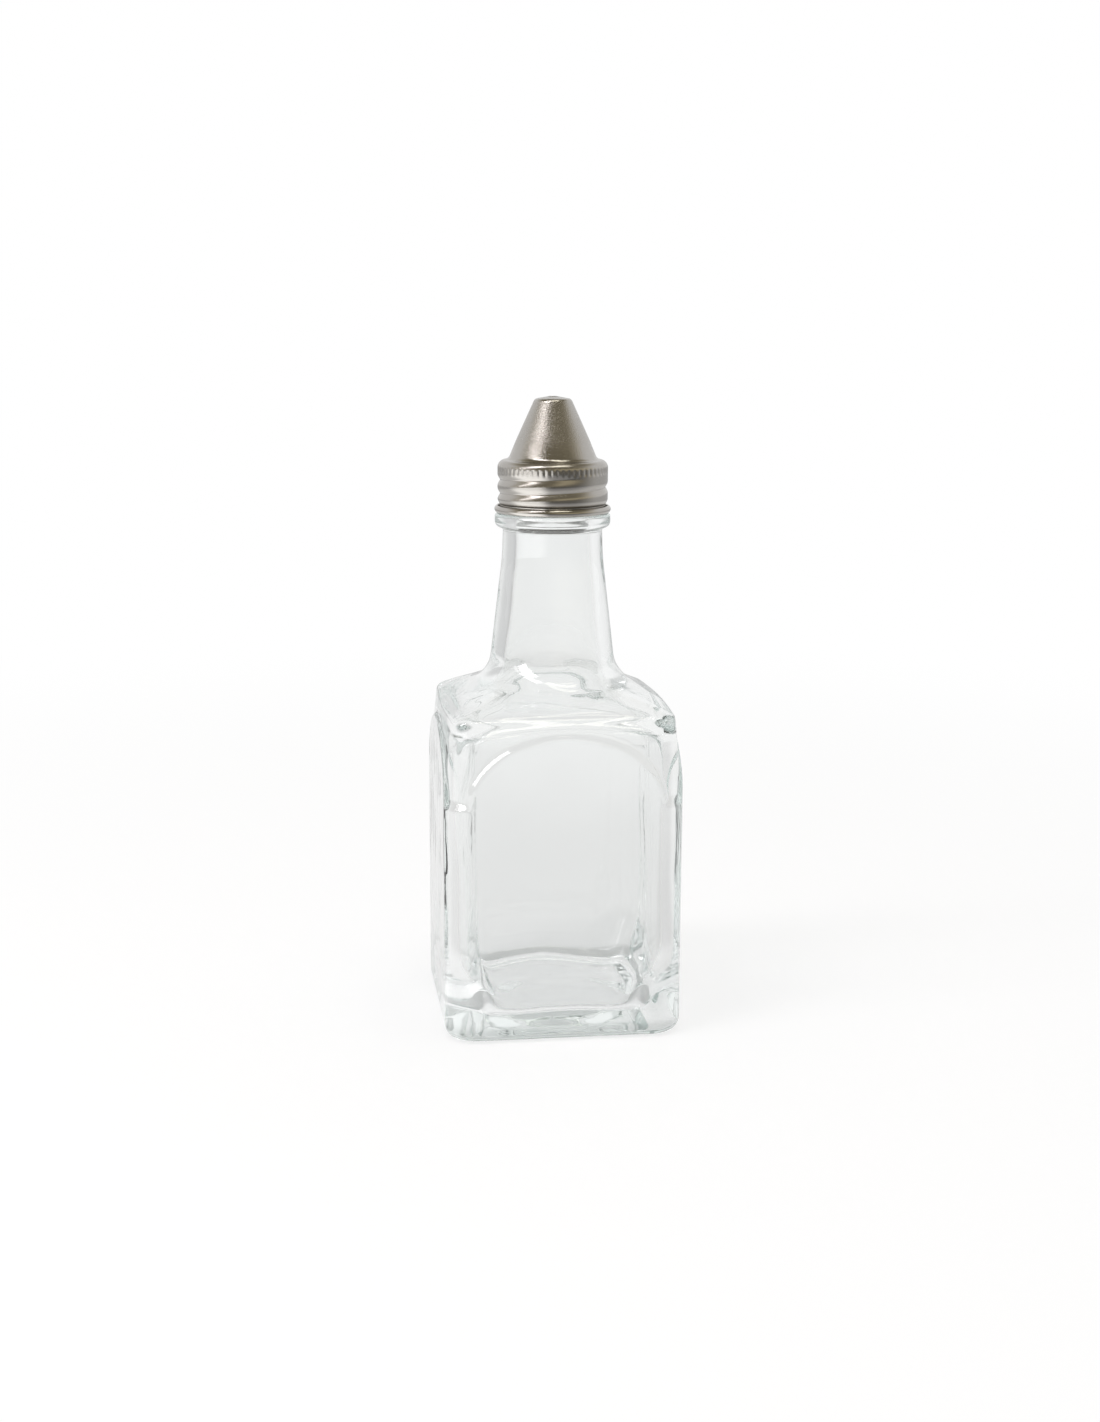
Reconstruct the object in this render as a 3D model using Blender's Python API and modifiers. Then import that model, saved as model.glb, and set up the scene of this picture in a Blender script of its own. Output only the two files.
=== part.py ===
"""Oil and vinegar cruet: a square moulded glass bottle with a pressed metal pouring cap and its seal.

The bottle stands on z = 0 with its axis on the Z axis and its faces square to X and Y.
The cap sits screwed down, with the seal between its ledge and the bottle's lip.
"""
import math

import bmesh
import bpy

# Driving dimensions, in metres

# Square glass body
BODY_WIDTH = 0.057
BODY_CORNER_RADIUS = 0.0073
HEEL_RADIUS = 0.0030
SHOULDER_EDGE_HEIGHT = 0.0777
SHOULDER_EDGE_RADIUS = 0.0016
SHOULDER_SLOPE = math.radians(29.0)
SHOULDER_CORNER_TIGHTENING = 0.7
SHOULDER_CORNER_RUN = 0.004
SHOULDER_ROUNDING_MARGIN = 0.001
REST_BAND_WIDTH = 0.0042
BASE_HOLLOW_RISE = 0.0014
BASE_HOLLOW_RUN = 0.0035

# Arched panel on each face, and the spandrels that fall back above it
ARCH_HALF_WIDTH = 0.0228
ARCH_SPRING_HEIGHT = 0.0565
ARCH_RISE = 0.0172
SPANDREL_SLOPE = math.radians(13.0)
ARCH_EDGE_EASE = 0.0006

# Neck, collar and threaded top
NECK_FOOT_RADIUS = 0.0154
NECK_WAIST_RADIUS = 0.01215
NECK_WAIST_DROP = 0.0070
NECK_WAIST_ROUNDING = 0.06
NECK_TOP_RADIUS = 0.0119
NECK_TOP_HEIGHT = 0.1195
NECK_TOP_FILLET = 0.0008
NECK_FLARE_RADIUS = 0.008
COLLAR_RADIUS = 0.01385
COLLAR_HEIGHT = 0.0037
COLLAR_UNDERSIDE_RISE = 0.0010
COLLAR_UNDERSIDE_ROUNDING = 0.0020
COLLAR_TOP_ROUNDING = 0.0007
FINISH_RADIUS = 0.0115
FINISH_HEIGHT = 0.0104
LIP_ROUNDING = 0.0007
LIP_LAND = 0.0015

# Cavity
WALL = 0.0032
CAVITY_CORNER_RADIUS = 0.0066
CAVITY_CORNER_TIGHTENING = 0.4
CAVITY_CORNER_RUN = 0.006
CAVITY_ROUNDING_DROP = 0.006
FLOOR_HEIGHT = 0.0056
FLOOR_CROWN = 0.0009
FLOOR_FILLET = 0.0068
CAVITY_SHOULDER_FILLET = 0.0055
SHOULDER_WALL = 0.0034
NECK_FOOT_WALL = 0.0034
BORE_RADIUS = 0.0088
MOUTH_ROUNDING = 0.0006

# Pressed cap
CAP_WALL = 0.0004
CAP_HEIGHT_ABOVE_LIP = 0.0172
CAP_SKIRT_CLEARANCE = 0.0013
CAP_CURL_GAP = 0.0003
CURL_HALF_WIDTH = 0.0004
CURL_HALF_HEIGHT = 0.0007
CURL_TURN = math.radians(260.0)
SPOUT_TIP_RADIUS = 0.0044
SPOUT_TIP_ROUNDING = 0.0009
SPOUT_MIDDLE_RADIUS = 0.0088
SPOUT_MIDDLE_RISE = 0.0046
SPOUT_MIDDLE_ROUNDING = 0.03
SPOUT_FOOT_RADIUS = 0.0107
SPOUT_FOOT_FILLET = 0.0018
LEDGE_ROUNDING = 0.0014
LEDGE_DROP = 0.0003
POUR_HOLE_RADIUS = 0.0012

# Seal between the lip and the ledge
SEAL_THICKNESS = 0.0014
SEAL_OUTER_CLEARANCE = 0.00045
SEAL_INNER_RADIUS = 0.0092
SEAL_ROUNDING = 0.0003

# Gap between pieces that touch
TOUCH_GAP = 0.0003

# Fineness of the meshes
QUARTER_FLAT_STEPS = 4
QUARTER_ARC_STEPS = 8
TURN_STEPS = 48
CURL_STEPS = 9

# Sizes that follow from the ones above
BODY_HALF = BODY_WIDTH / 2
CAVITY_HALF = BODY_HALF - WALL
NECK_FOOT_HEIGHT = SHOULDER_EDGE_HEIGHT + (BODY_HALF - NECK_FOOT_RADIUS) * math.tan(SHOULDER_SLOPE)
NECK_WAIST_HEIGHT = NECK_TOP_HEIGHT - NECK_WAIST_DROP
COLLAR_TOP = NECK_TOP_HEIGHT + COLLAR_HEIGHT
LIP_HEIGHT = COLLAR_TOP + FINISH_HEIGHT
CAP_SKIRT_RADIUS = FINISH_RADIUS + CAP_SKIRT_CLEARANCE + CAP_WALL / 2
CAP_TOP = LIP_HEIGHT + CAP_HEIGHT_ABOVE_LIP - CAP_WALL / 2
SEAL_BOTTOM = LIP_HEIGHT + TOUCH_GAP
LEDGE_HEIGHT = SEAL_BOTTOM + SEAL_THICKNESS + TOUCH_GAP + CAP_WALL / 2
CURL_CENTRE_HEIGHT = COLLAR_TOP + CAP_CURL_GAP + CAP_WALL / 2 + CURL_HALF_HEIGHT


def clear_scene():
    for item in list(bpy.data.objects):
        bpy.data.objects.remove(item, do_unlink=True)


def new_collection(name):
    collection = bpy.data.collections.new(name)
    bpy.context.scene.collection.children.link(collection)
    return collection


def material(name, colour, roughness, metallic=0.0, transmission=0.0):
    """A Principled material."""
    made = bpy.data.materials.new(name)
    made.use_nodes = True
    shader = made.node_tree.nodes["Principled BSDF"]
    shader.inputs["Base Color"].default_value = (*colour, 1.0)
    shader.inputs["Roughness"].default_value = roughness
    shader.inputs["Metallic"].default_value = metallic
    shader.inputs["Transmission Weight"].default_value = transmission
    return made


def smooth_step(value, low, high):
    """Rises from 0 at low to 1 at high, level at both ends."""
    t = min(max((value - low) / (high - low), 0.0), 1.0)
    return t * t * (3.0 - 2.0 * t)


# Outlines: points of radius and height, with the corners rounded by arcs


def rounded_outline(corners):
    """Turns corners (radius, height, rounding, arc steps, steps of the run that follows) into points."""
    points = []
    trims = []
    for index, (x, z, rounding, _, _) in enumerate(corners):
        trim = 0.0
        if rounding > 0.0:
            before = corners[index - 1]
            after = corners[index + 1]
            way_in = math.atan2(z - before[1], x - before[0])
            way_out = math.atan2(after[1] - z, after[0] - x)
            turn = (way_out - way_in + math.pi) % (2 * math.pi) - math.pi
            trim = rounding * math.tan(abs(turn) / 2)
        trims.append(trim)
    for index, (x, z, rounding, arc_steps, run_steps) in enumerate(corners):
        if rounding > 0.0:
            before = corners[index - 1]
            after = corners[index + 1]
            way_in = math.atan2(z - before[1], x - before[0])
            way_out = math.atan2(after[1] - z, after[0] - x)
            turn = (way_out - way_in + math.pi) % (2 * math.pi) - math.pi
            side = math.copysign(1.0, turn)
            start_x = x - trims[index] * math.cos(way_in)
            start_z = z - trims[index] * math.sin(way_in)
            centre_x = start_x - side * rounding * math.sin(way_in)
            centre_z = start_z + side * rounding * math.cos(way_in)
            for step in range(arc_steps + 1):
                angle = way_in - side * math.pi / 2 + turn * step / arc_steps
                points.append((centre_x + rounding * math.cos(angle), centre_z + rounding * math.sin(angle)))
        else:
            points.append((x, z))
        if index + 1 < len(corners) and run_steps > 1:
            following = corners[index + 1]
            way = math.atan2(following[1] - z, following[0] - x)
            from_x, from_z = points[-1]
            to_x = following[0] - trims[index + 1] * math.cos(way)
            to_z = following[1] - trims[index + 1] * math.sin(way)
            for step in range(1, run_steps):
                part = step / run_steps
                points.append((from_x + (to_x - from_x) * part, from_z + (to_z - from_z) * part))
    return points


# Sections of the glass: a rounded square that turns into a circle


def square_section(half, corner_radius):
    """Points of a rounded square, with the outward direction at each."""
    steps = 2 * QUARTER_FLAT_STEPS + QUARTER_ARC_STEPS
    flat = half - corner_radius
    section = []
    for quarter in range(4):
        for step in range(steps):
            if step < QUARTER_FLAT_STEPS:
                x, y, angle = half, flat * step / QUARTER_FLAT_STEPS, 0.0
            elif step <= QUARTER_FLAT_STEPS + QUARTER_ARC_STEPS:
                angle = math.pi / 2 * (step - QUARTER_FLAT_STEPS) / QUARTER_ARC_STEPS
                x = flat + corner_radius * math.cos(angle)
                y = flat + corner_radius * math.sin(angle)
            else:
                x, y, angle = flat * (steps - step) / QUARTER_FLAT_STEPS, half, math.pi / 2
            turned = quarter * math.pi / 2
            c, s = math.cos(turned), math.sin(turned)
            section.append((x * c - y * s, x * s + y * c, angle + turned))
    return section


def blended_section(half, corner_radius, roundness):
    """A rounded square that is a circle where roundness is 1."""
    section = square_section(half, min(max(corner_radius, 0.001), half))
    count = len(section)
    blended = []
    for index, (x, y, facing) in enumerate(section):
        angle = 2 * math.pi * index / count
        round_x, round_y = half * math.cos(angle), half * math.sin(angle)
        blended.append((x + (round_x - x) * roundness, y + (round_y - y) * roundness, facing))
    return blended


def spandrel_depth(across, height):
    """How far a face falls back outside its arch, at a distance from its centre line."""
    above = max(height - ARCH_SPRING_HEIGHT, 0.0) / ARCH_RISE
    reach = math.hypot(across / ARCH_HALF_WIDTH, above) - 1.0
    if above == 0.0 or reach <= 0.0:
        return 0.0
    run = reach * ARCH_RISE
    return math.tan(SPANDREL_SLOPE) * run * run / (run + ARCH_EDGE_EASE)


def glass_ring(half, corner_radius, roundness, height, spandrels=False):
    """One ring of the bottle's skin."""
    fade = 1.0 - smooth_step(height, SHOULDER_EDGE_HEIGHT, NECK_FOOT_HEIGHT)
    ring = []
    for x, y, facing in blended_section(half, corner_radius, roundness):
        if spandrels:
            out_x, out_y = math.cos(facing), math.sin(facing)
            x -= out_x * abs(out_x) * spandrel_depth(abs(y), height) * fade
            y -= out_y * abs(out_y) * spandrel_depth(abs(x), height) * fade
        ring.append((x, y, height))
    return ring


def loft(name, rings, collection):
    """A closed solid through rings of equal counts, from the lowest point of its outline to the last."""
    mesh = bpy.data.meshes.new(name)
    shape = bmesh.new()
    rows = [[shape.verts.new(point) for point in ring] for ring in rings]
    count = len(rings[0])
    for low, high in zip(rows, rows[1:]):
        for index in range(count):
            after = (index + 1) % count
            shape.faces.new((low[index], low[after], high[after], high[index]))
    shape.faces.new(list(reversed(rows[0])))
    shape.faces.new(rows[-1])
    bmesh.ops.recalc_face_normals(shape, faces=shape.faces)
    shape.to_mesh(mesh)
    shape.free()
    made = bpy.data.objects.new(name, mesh)
    collection.objects.link(made)
    return made


def bottle_outline():
    """The skin from the middle of the base, out and up to the lip."""
    band_inner = BODY_HALF - HEEL_RADIUS - REST_BAND_WIDTH
    hollow_edge = band_inner - BASE_HOLLOW_RUN
    return rounded_outline([
        (hollow_edge * 0.5, BASE_HOLLOW_RISE, 0.0, 0, 1),
        (hollow_edge, BASE_HOLLOW_RISE * 0.92, 0.0, 0, 1),
        (band_inner, 0.0, 0.0, 0, 1),
        (BODY_HALF, 0.0, HEEL_RADIUS, 4, 1),
        (BODY_HALF, ARCH_SPRING_HEIGHT, 0.0, 0, 8),
        (BODY_HALF, SHOULDER_EDGE_HEIGHT, SHOULDER_EDGE_RADIUS, 4, 3),
        (NECK_FOOT_RADIUS, NECK_FOOT_HEIGHT, NECK_FLARE_RADIUS, 6, 2),
        (NECK_WAIST_RADIUS, NECK_WAIST_HEIGHT, NECK_WAIST_ROUNDING, 3, 1),
        (NECK_TOP_RADIUS, NECK_TOP_HEIGHT, NECK_TOP_FILLET, 2, 1),
        (COLLAR_RADIUS, NECK_TOP_HEIGHT + COLLAR_UNDERSIDE_RISE, COLLAR_UNDERSIDE_ROUNDING, 4, 1),
        (COLLAR_RADIUS, COLLAR_TOP, COLLAR_TOP_ROUNDING, 2, 1),
        (FINISH_RADIUS, COLLAR_TOP, 0.0, 0, 1),
        (FINISH_RADIUS, LIP_HEIGHT, LIP_ROUNDING, 3, 1),
        (BORE_RADIUS + LIP_LAND, LIP_HEIGHT, 0.0, 0, 1),
    ])


def cavity_outline():
    """The inside from the middle of the floor, up the walls and out of the mouth."""
    shoulder_top = SHOULDER_EDGE_HEIGHT - SHOULDER_WALL / math.cos(SHOULDER_SLOPE)
    slope = math.tan(SHOULDER_SLOPE)
    neck_inner = NECK_FOOT_RADIUS - NECK_FOOT_WALL
    return rounded_outline([
        (CAVITY_HALF * 0.4, FLOOR_HEIGHT + FLOOR_CROWN, 0.0, 0, 1),
        (CAVITY_HALF, FLOOR_HEIGHT, FLOOR_FILLET, 5, 1),
        (CAVITY_HALF, shoulder_top + slope * WALL, CAVITY_SHOULDER_FILLET, 4, 2),
        (neck_inner, shoulder_top + slope * (BODY_HALF - neck_inner), NECK_FLARE_RADIUS, 5, 2),
        (BORE_RADIUS, NECK_WAIST_HEIGHT, NECK_WAIST_ROUNDING, 3, 1),
        (BORE_RADIUS, LIP_HEIGHT - MOUTH_ROUNDING, 0.0, 0, 1),
        (BORE_RADIUS + MOUTH_ROUNDING * 0.3, LIP_HEIGHT - MOUTH_ROUNDING * 0.3, 0.0, 0, 1),
        (BORE_RADIUS + MOUTH_ROUNDING, LIP_HEIGHT, 0.0, 0, 1),
        (BORE_RADIUS + MOUTH_ROUNDING, LIP_HEIGHT + MOUTH_ROUNDING, 0.0, 0, 1),
    ])


def glass_bottle(collection, cutters):
    round_from = SHOULDER_EDGE_HEIGHT - SHOULDER_ROUNDING_MARGIN
    round_to = NECK_FOOT_HEIGHT + SHOULDER_ROUNDING_MARGIN
    outer_rings = []
    for half, height in bottle_outline():
        corner = BODY_CORNER_RADIUS - SHOULDER_CORNER_TIGHTENING * min(BODY_HALF - half, SHOULDER_CORNER_RUN)
        roundness = smooth_step(height, round_from, round_to)
        outer_rings.append(glass_ring(half, corner, roundness, height, spandrels=True))
    bottle = loft("glass_bottle", outer_rings, collection)

    inner_rings = []
    for half, height in cavity_outline():
        corner = CAVITY_CORNER_RADIUS - CAVITY_CORNER_TIGHTENING * min(CAVITY_HALF - half, CAVITY_CORNER_RUN)
        roundness = smooth_step(height, SHOULDER_EDGE_HEIGHT - CAVITY_ROUNDING_DROP, NECK_FOOT_HEIGHT)
        inner_rings.append(glass_ring(half, corner, roundness, height))
    cavity = loft("bottle_cavity", inner_rings, cutters)
    cavity.hide_render = True
    cavity.display_type = "WIRE"

    hollow = bottle.modifiers.new("hollow", "BOOLEAN")
    hollow.operation = "DIFFERENCE"
    hollow.solver = "EXACT"
    hollow.object = cavity
    bottle.data.materials.append(material("clear_glass", (0.93, 0.96, 0.94), 0.02, transmission=1.0))
    bottle.data.shade_smooth()
    bottle.data.set_sharp_from_angle(angle=math.radians(40.0))
    return bottle


# Turned pieces


def turned(name, outline, closed, collection):
    """An outline in the XZ plane with a Screw modifier round the Z axis."""
    mesh = bpy.data.meshes.new(name)
    edges = [(index, index + 1) for index in range(len(outline) - 1)]
    if closed:
        edges.append((len(outline) - 1, 0))
    mesh.from_pydata([(x, 0.0, z) for x, z in outline], edges, [])
    made = bpy.data.objects.new(name, mesh)
    collection.objects.link(made)
    screw = made.modifiers.new("turn", "SCREW")
    screw.axis = "Z"
    screw.angle = 2 * math.pi
    screw.steps = TURN_STEPS
    screw.render_steps = TURN_STEPS
    screw.use_merge_vertices = True
    screw.merge_threshold = 0.00001
    screw.use_smooth_shade = True
    return made


def cap_outline():
    """The middle of the sheet, from the pour hole down the spout and skirt, and out round the curl."""
    spout_top = CAP_TOP
    ledge_outer = LEDGE_HEIGHT - LEDGE_DROP
    points = rounded_outline([
        (POUR_HOLE_RADIUS, spout_top, 0.0, 0, 1),
        (SPOUT_TIP_RADIUS - CAP_WALL / 2, spout_top, SPOUT_TIP_ROUNDING, 3, 3),
        (SPOUT_MIDDLE_RADIUS - CAP_WALL / 2, LEDGE_HEIGHT + SPOUT_MIDDLE_RISE, SPOUT_MIDDLE_ROUNDING, 2, 1),
        (SPOUT_FOOT_RADIUS - CAP_WALL / 2, LEDGE_HEIGHT, SPOUT_FOOT_FILLET, 3, 1),
        (CAP_SKIRT_RADIUS, ledge_outer, LEDGE_ROUNDING, 4, 3),
        (CAP_SKIRT_RADIUS, CURL_CENTRE_HEIGHT, 0.0, 0, 1),
    ])
    curl_centre = CAP_SKIRT_RADIUS + CURL_HALF_WIDTH
    for step in range(1, CURL_STEPS + 1):
        angle = math.pi + CURL_TURN * step / CURL_STEPS
        out = curl_centre + CURL_HALF_WIDTH * math.cos(angle)
        points.append((out, CURL_CENTRE_HEIGHT + CURL_HALF_HEIGHT * math.sin(angle)))
    return points


def screw_cap(collection):
    cap = turned("screw_cap", cap_outline(), False, collection)
    sheet = cap.modifiers.new("sheet", "SOLIDIFY")
    sheet.thickness = CAP_WALL
    sheet.offset = 0.0
    sheet.use_even_offset = True
    cap.data.materials.append(material("satin_steel", (0.62, 0.60, 0.57), 0.28, metallic=1.0))
    return cap


def sealing_gasket(collection):
    outer = CAP_SKIRT_RADIUS - CAP_WALL / 2 - SEAL_OUTER_CLEARANCE
    top = SEAL_BOTTOM + SEAL_THICKNESS
    middle = (outer + SEAL_INNER_RADIUS) / 2
    outline = rounded_outline([
        (middle, top, 0.0, 0, 1),
        (outer, top, SEAL_ROUNDING, 2, 1),
        (outer, SEAL_BOTTOM, SEAL_ROUNDING, 2, 1),
        (middle, SEAL_BOTTOM, 0.0, 0, 1),
        (SEAL_INNER_RADIUS, SEAL_BOTTOM, SEAL_ROUNDING, 2, 1),
        (SEAL_INNER_RADIUS, top, SEAL_ROUNDING, 2, 1),
        (middle, top, 0.0, 0, 1),
    ])
    gasket = turned("sealing_gasket", outline[:-1], True, collection)
    gasket.data.materials.append(material("white_rubber", (0.86, 0.86, 0.84), 0.6))
    return gasket


def main():
    clear_scene()
    parts = new_collection("oil_and_vinegar_cruet")
    cutters = new_collection("cutters")
    glass_bottle(parts, cutters)
    screw_cap(parts)
    sealing_gasket(parts)


main()
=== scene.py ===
import math

import bmesh
import bpy
from mathutils import Matrix, Vector, noise


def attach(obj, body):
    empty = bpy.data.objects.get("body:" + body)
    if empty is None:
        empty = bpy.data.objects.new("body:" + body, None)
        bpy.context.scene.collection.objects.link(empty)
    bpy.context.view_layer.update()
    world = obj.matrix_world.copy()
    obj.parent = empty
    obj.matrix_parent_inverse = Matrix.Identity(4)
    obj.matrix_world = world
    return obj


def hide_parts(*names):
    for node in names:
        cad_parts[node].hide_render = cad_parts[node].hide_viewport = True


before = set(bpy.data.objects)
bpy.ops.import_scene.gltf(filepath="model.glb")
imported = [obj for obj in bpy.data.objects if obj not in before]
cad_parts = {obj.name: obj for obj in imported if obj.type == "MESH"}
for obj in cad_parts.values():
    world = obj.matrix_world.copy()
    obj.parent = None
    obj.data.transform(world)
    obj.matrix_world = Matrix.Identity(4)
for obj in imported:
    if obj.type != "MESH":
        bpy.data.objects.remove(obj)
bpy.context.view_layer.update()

MM = 0.001
WELD_REACH = 0.002 * MM

# Camera, at the photograph's angle

CAMERA_PLACE = (-0.0660, -0.4844, 0.1746)
CAMERA_YAW = math.radians(-7.71)
CAMERA_PITCH = math.radians(11.56)
CAMERA_ROLL = math.radians(0.23)
CAMERA_LENS = 51.646

# Glass body

BODY_HALF = 28.5 * MM
BODY_CORNER_RADIUS = 7.3 * MM
HEEL_RADIUS = 3.0 * MM
SHOULDER_EDGE_HEIGHT = 77.7 * MM
SHOULDER_EDGE_RADIUS = 1.6 * MM
SHOULDER_SLOPE = math.radians(29.0)
REST_BAND_WIDTH = 4.2 * MM
BASE_HOLLOW_RISE = 1.4 * MM
BASE_HOLLOW_RUN = 3.5 * MM
ARCH_HALF_WIDTH = 22.8 * MM
ARCH_SPRING_HEIGHT = 56.5 * MM
ARCH_RISE = 17.2 * MM
ARCH_STEP = 0.8 * MM
ARCH_STEP_RUN = 1.2 * MM
ARCH_STEP_SOFTENING = 0.2
SPANDREL_SLOPE = math.radians(8.0)
SPANDREL_FOOT_FADE = 2.5 * MM

# Neck, collar and threaded finish

NECK_FOOT_RADIUS = 15.4 * MM
NECK_FOOT_HEIGHT = SHOULDER_EDGE_HEIGHT + (BODY_HALF - NECK_FOOT_RADIUS) * math.tan(SHOULDER_SLOPE)
NECK_FLARE_RADIUS = 8.0 * MM
NECK_WAIST_RADIUS = 12.15 * MM
NECK_WAIST_HEIGHT = 112.5 * MM
NECK_WAIST_ROUNDING = 60.0 * MM
NECK_TOP_RADIUS = 11.9 * MM
NECK_TOP_HEIGHT = 119.5 * MM
COLLAR_RADIUS = 13.85 * MM
COLLAR_TOP = 123.2 * MM
FINISH_RADIUS = 11.5 * MM
LIP_HEIGHT = 133.6 * MM
LIP_ROUNDING = 0.7 * MM

# Cavity

WALL = 3.2 * MM
CAVITY_HALF = BODY_HALF - WALL
CAVITY_CORNER_RADIUS = 6.4 * MM
FLOOR_HEIGHT = 5.6 * MM
FLOOR_CROWN = 0.9 * MM
FLOOR_FILLET = 3.6 * MM
FOOT_LEAN = 2.4 * MM
FOOT_LEAN_HEIGHT = 9.0 * MM
FOOT_CORNER_RADIUS = 13.0 * MM
FLOOR_CORNER_DROP = 1.8 * MM
CAVITY_SHOULDER_FILLET = 7.5 * MM
SHOULDER_WALL = 3.4 * MM
NECK_FOOT_WALL = 3.4 * MM
BORE_RADIUS = 8.8 * MM
MOUTH_ROUNDING = 0.6 * MM
UNEVEN_DEPTH = 0.22 * MM
UNEVEN_SIZE = 14 * MM

# Pressed cap

CAP_WALL = 0.4 * MM
CAP_TOP = 150.8 * MM - CAP_WALL / 2
SKIRT_RADIUS = 13.0 * MM
SKIRT_FOOT_RADIUS = 12.5 * MM
SKIRT_FOOT_HEIGHT = 125.4 * MM
LEDGE_HEIGHT = 135.8 * MM
CURL_CENTRE_HEIGHT = 124.2 * MM
CURL_RADIUS = 0.62 * MM
CURL_HALF_HEIGHT = 0.70 * MM
CURL_TURN = math.radians(260.0)
CURL_STEPS = 14
SPOUT_TIP_RADIUS = 4.2 * MM
SPOUT_TIP_ROUNDING = 0.9 * MM
SPOUT_TIP_DOME = 0.55 * MM
SPOUT_MIDDLE_RADIUS = 8.6 * MM
SPOUT_MIDDLE_RISE = 4.6 * MM
SPOUT_FOOT_RADIUS = 10.5 * MM
SPOUT_FOOT_FILLET = 1.8 * MM
LEDGE_ROUNDING = 1.6 * MM
LEDGE_DROP = 0.3 * MM
POUR_HOLE_RADIUS = 1.2 * MM

# Thread: its groove in the cap and its ridge on the glass, half a pitch apart

PITCH = 3.25 * MM
GROOVE_HEIGHT = 126.3 * MM
GROOVE_DEPTH = 0.78 * MM
GROOVE_HALF_WIDTH = 1.5 * MM
GROOVE_FIRST_TURN = 0.10
GROOVE_LAST_TURN = 1.86
GROOVE_FADE_TURNS = 0.25
GROOVE_SHARPNESS = 1.0
RIDGE_HEIGHT = GROOVE_HEIGHT + PITCH / 2
RIDGE_DEPTH = 0.85 * MM
RIDGE_HALF_WIDTH = 1.05 * MM
RIDGE_FIRST_TURN = -0.45
RIDGE_LAST_TURN = 1.38
RIDGE_FADE_TURNS = 0.12

# Knurled band of the cap

FLUTES = 58
POINTS_PER_FLUTE = 7
FLUTE_DEPTH = 0.12 * MM
FLUTES_FROM = 132.4 * MM
FLUTES_TO = 134.5 * MM

# Finishes: a pair of heights is where one look starts to give way to the next and where it has done so

WHITE = (1.0, 1.0, 1.0, 1.0)
GLASS = (0.942, 0.949, 0.947, 1.0)
# Painted shade: the darker glass round the bottom edge stands in for the shade near the table.
GLASS_UNDER_PAINTED_BOTTOM_SHADE = (0.56, 0.58, 0.57, 1.0)
GLASS_OF_THE_FINISH = (0.985, 0.990, 0.988, 1.0)
GLASS_IN_DEPTH = (0.74, 0.86, 0.83, 1.0)
GLASS_DENSITY = 5.0
GLASS_BENDING = 1.52
RIPPLE_SCALE = 110.0
RIPPLE_HEIGHT = 0.4 * MM
# Where that painted shade reaches: its distance from the axis and its height above the table.
BOTTOM_SHADE_FROM_THE_AXIS = (25.5 * MM, 27.0 * MM)
BOTTOM_SHADE_END = (2.6 * MM, 5.2 * MM)
COLLAR_START = (120.0 * MM, 121.0 * MM)
COLLAR_END = (123.2 * MM, 124.0 * MM)
COLLAR_ROUGHNESS = 0.08
CLEAR_FINISH_START = (118.5 * MM, 120.0 * MM)

STEEL = (0.47, 0.451, 0.423, 1.0)
SPECKLE_SCALE = 4200.0
CLOUD_SCALE = 260.0
GRAIN_HEIGHT = 0.15 * MM
CONE_START = (135.5 * MM, 137.5 * MM)
SKIRT_TO_CONE = (133.0 * MM, 137.5 * MM)
SKIRT_ROUGHNESS = 0.20
CONE_ROUGHNESS = 0.21
WORN_LOSS = 0.12
WORN_FOOT_START = (135.6 * MM, 136.6 * MM)
WORN_FOOT_END = (137.6 * MM, 141.2 * MM)
WORN_TIP_START = (149.4 * MM, 150.0 * MM)
WORN_CURL_END = (124.9 * MM, 126.0 * MM)

SEAL_DARKER = (0.80, 0.80, 0.77, 1.0)
SEAL_LIGHTER = (0.90, 0.90, 0.88, 1.0)
SEAL_ROUGHNESS = 0.6
MOTTLE_SCALE = 900.0
MOTTLE_HEIGHT = 0.05 * MM

# Studio: its right, left and back along the table, and the ways to the window's painted sheen and gleam on the table

STUDIO_RIGHT = (math.cos(CAMERA_YAW), math.sin(CAMERA_YAW), 0.0)
STUDIO_LEFT = (-math.cos(CAMERA_YAW), -math.sin(CAMERA_YAW), 0.0)
STUDIO_BACK = (-math.sin(CAMERA_YAW), math.cos(CAMERA_YAW), 0.0)
SHEEN_WAY = (-0.883, -0.469, 0.0)
GLEAM_WAY = (-0.80, -0.60, 0.0)
WINDOW_COLOUR = (1.0, 0.965, 0.985)
ARCH_WINDOW_COLOUR = (1.0, 0.975, 1.0)
BOX_COLOUR = (1.0, 0.96, 0.84)
DARK_SIDE_TONE = (1.0, 0.88, 0.62, 1.0)
DAYLIGHT = 0.55
MIRRORED_DARK_SIDE = 0.22
MIRRORED_BRIGHT_SIDE = 0.66
LOW_BAND = 0.34
EDGE_LEVEL_LEFT = 0.67
EDGE_LEVEL_RIGHT = 0.98
TABLE_LIT_COLOUR = (0.40, 0.40, 0.40, 1.0)
TABLE_LIT_SHARE = 0.332
TABLE_LIT_END = (0.12, 0.55)
TABLE_MATT_COLOUR = (0.80, 0.80, 0.80, 1.0)


def put_camera():
    data = bpy.data.cameras.new("camera")
    data.sensor_width = 36.0
    data.lens = CAMERA_LENS
    data.clip_start = 0.01
    data.clip_end = 20.0
    camera = bpy.data.objects.new("camera", data)
    bpy.context.scene.collection.objects.link(camera)
    turn = Matrix.Rotation(CAMERA_YAW, 4, "Z") @ Matrix.Rotation(math.pi / 2 - CAMERA_PITCH, 4, "X")
    camera.matrix_world = Matrix.Translation(CAMERA_PLACE) @ turn @ Matrix.Rotation(CAMERA_ROLL, 4, "Z")
    bpy.context.scene.camera = camera


# Outlines, as points of radius and height


def smooth_step(value, low, high):
    t = min(max((value - low) / (high - low), 0.0), 1.0)
    return t * t * (3.0 - 2.0 * t)


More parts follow.
